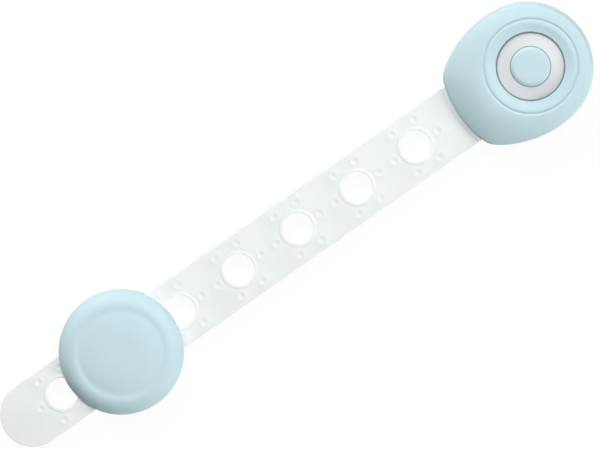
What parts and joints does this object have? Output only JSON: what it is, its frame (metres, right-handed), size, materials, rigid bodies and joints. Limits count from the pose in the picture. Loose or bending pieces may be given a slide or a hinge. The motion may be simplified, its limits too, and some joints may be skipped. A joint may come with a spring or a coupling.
{
  "type": "cabinet safety lock",
  "caption": "Child-safety strap lock: a holed strap plugs into a drop-shaped lock with nested ring and centre push buttons, and a round adhesive anchor sets its length.",
  "frame": {"origin": "on the axis of the push buttons, at the lock's adhesive face", "axes": "+X along the strap from the anchor towards the lock, +Z out of the cabinet's surface"},
  "size_m": [0.2148, 0.0406, 0.016],
  "materials": {
    "foam": "closed-cell adhesive foam, matt",
    "white_plastic": "moulded, fine satin",
    "blue_plastic": "moulded, soft gloss",
    "button_white": "moulded, soft gloss",
    "latch_plastic": "acetal, satin",
    "strap_plastic": "flexible, fine satin",
    "spring_steel": "drawn wire",
    "screw_steel": "zinc plated"
  },
  "bodies": {
    "lock_housing": {"lock_pad": "foam", "lock_base": "white_plastic", "button_frame": "white_plastic", "lock_cover": "blue_plastic", "cover_screws": "screw_steel", "ring_spring": "spring_steel", "centre_spring": "spring_steel", "left_latch_spring": "spring_steel", "right_latch_spring": "spring_steel"},
    "ring": {"ring_button": "button_white"},
    "centre": {"centre_button": "blue_plastic"},
    "left_catch": {"left_latch": "latch_plastic"},
    "right_catch": {"right_latch": "latch_plastic"},
    "strap_body": {"strap": "strap_plastic", "strap_tongue": "white_plastic"},
    "cap": {"anchor_insert": "white_plastic", "anchor_cap": "blue_plastic"},
    "anchor": {"anchor_base": "white_plastic", "anchor_pad": "foam"}
  },
  "joints": [
    {"name": "ring_press", "type": "slide", "parent": "lock_housing", "child": "ring", "axis": [0, 0, -1], "range_m": [0, 0.002], "stiffness_N_per_m": 1200, "springref_m": -0.002, "deforming": ["ring_spring"]},
    {"name": "centre_press", "type": "slide", "parent": "lock_housing", "child": "centre", "axis": [0, 0, -1], "range_m": [0, 0.002], "stiffness_N_per_m": 1200, "springref_m": -0.002, "deforming": ["centre_spring"]},
    {"name": "left_latch_slide", "type": "slide", "parent": "lock_housing", "child": "left_catch", "axis": [0, 1, 0], "range_m": [0, 0.0015], "deforming": ["left_latch_spring"]},
    {"name": "right_latch_slide", "type": "slide", "parent": "lock_housing", "child": "right_catch", "axis": [0, -1, 0], "range_m": [0, 0.0015], "deforming": ["right_latch_spring"]},
    {"name": "strap_lift", "type": "slide", "parent": "anchor", "child": "strap_body", "axis": [0, 0, 1], "range_m": [0, 0.012]},
    {"name": "lock_pull", "type": "slide", "parent": "strap_body", "child": "lock_housing", "axis": [1, 0, 0], "range_m": [0, 0.06]},
    {"name": "cap_lift", "type": "slide", "parent": "strap_body", "child": "cap", "axis": [0, 0, 1], "range_m": [0, 0.016]}
  ],
  "couplings": [
    {"joint": "left_latch_slide", "follows": "ring_press", "ratio": 0.75},
    {"joint": "right_latch_slide", "follows": "centre_press", "ratio": 0.75}
  ]
}
